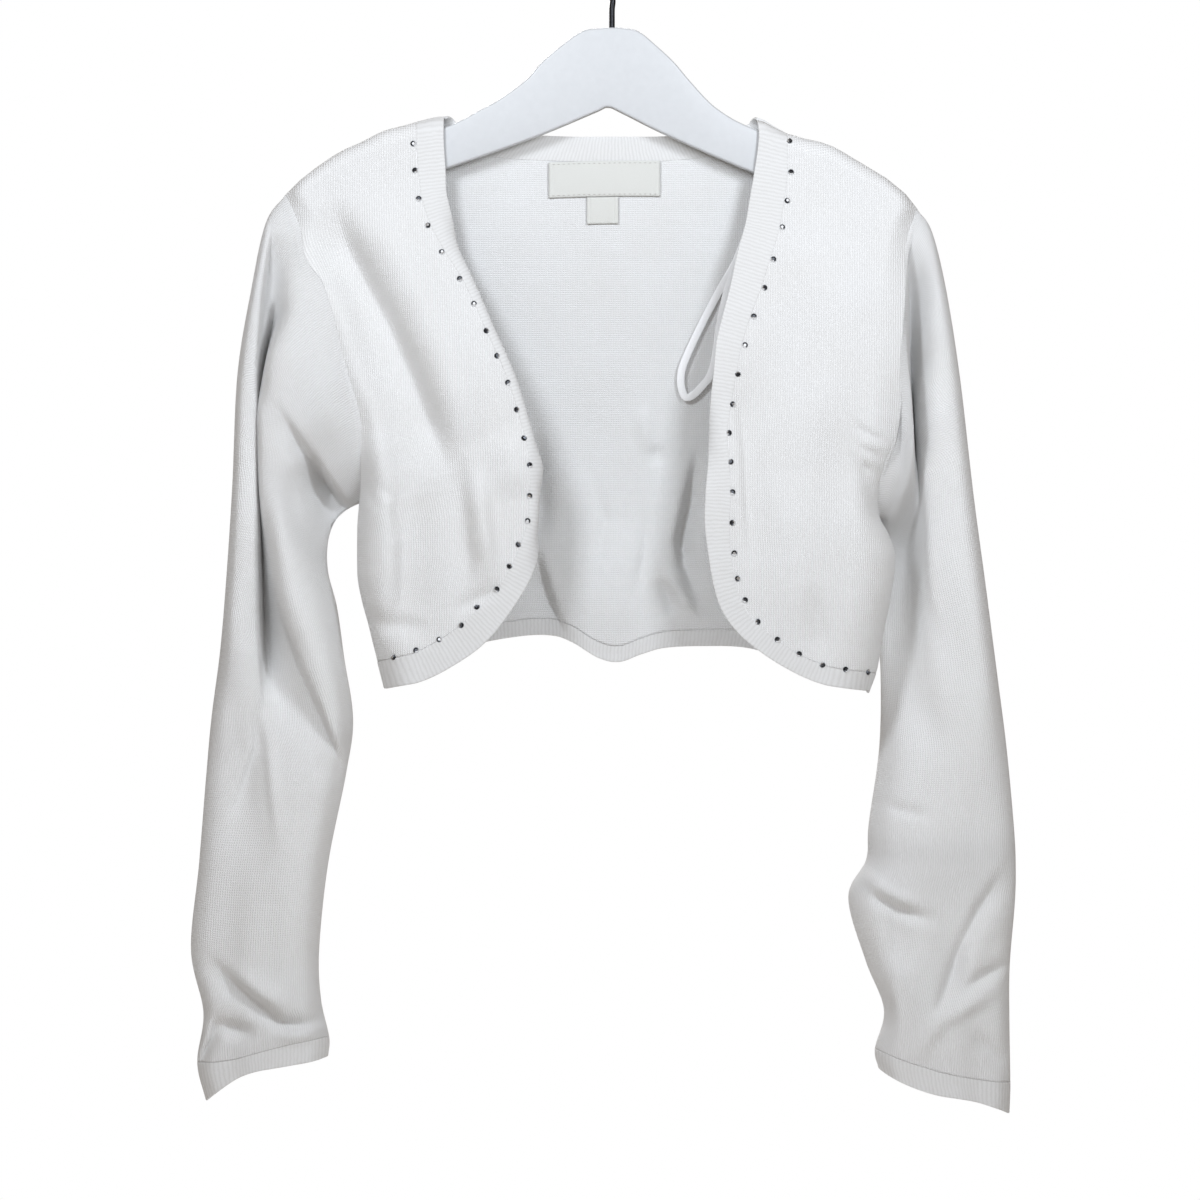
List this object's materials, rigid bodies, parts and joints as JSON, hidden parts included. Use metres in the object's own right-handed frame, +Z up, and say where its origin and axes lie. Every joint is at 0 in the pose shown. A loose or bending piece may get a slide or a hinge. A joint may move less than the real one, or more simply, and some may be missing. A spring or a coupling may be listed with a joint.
{
  "type": "bolero on a hanger",
  "caption": "Cropped open-front knit bolero with long sleeves, rib bands and stone trim down the fronts, hanging on a flat board hanger with a wire hook.",
  "frame": {"origin": "inside top of the hanger's hook, where a rail bears", "axes": "+Z up, -Y towards the viewer of the fronts, +X to the viewer's right"},
  "size_m": [0.4629, 0.071, 0.6731],
  "materials": {
    "white_knit": "fine single knit",
    "white_rib": "fine doubled rib",
    "cream_label": "woven",
    "white_satin": "satin ribbon",
    "pale_board": "smooth",
    "black_wire": "dark coated wire"
  },
  "bodies": {
    "root": {"back_panel": "white_knit", "front_left": "white_knit", "front_right": "white_knit", "sleeve_left": "white_knit", "sleeve_right": "white_knit", "band_neck_back": "white_rib", "band_front_left": "white_rib", "band_front_right": "white_rib", "hem_band_back": "white_rib", "cuff_left": "white_rib", "cuff_right": "white_rib", "neck_label": "cream_label", "size_tab": "cream_label", "hanging_loop": "white_satin", "hanger_board": "pale_board", "hanger_hook": "black_wire"}
  },
  "joints": []
}
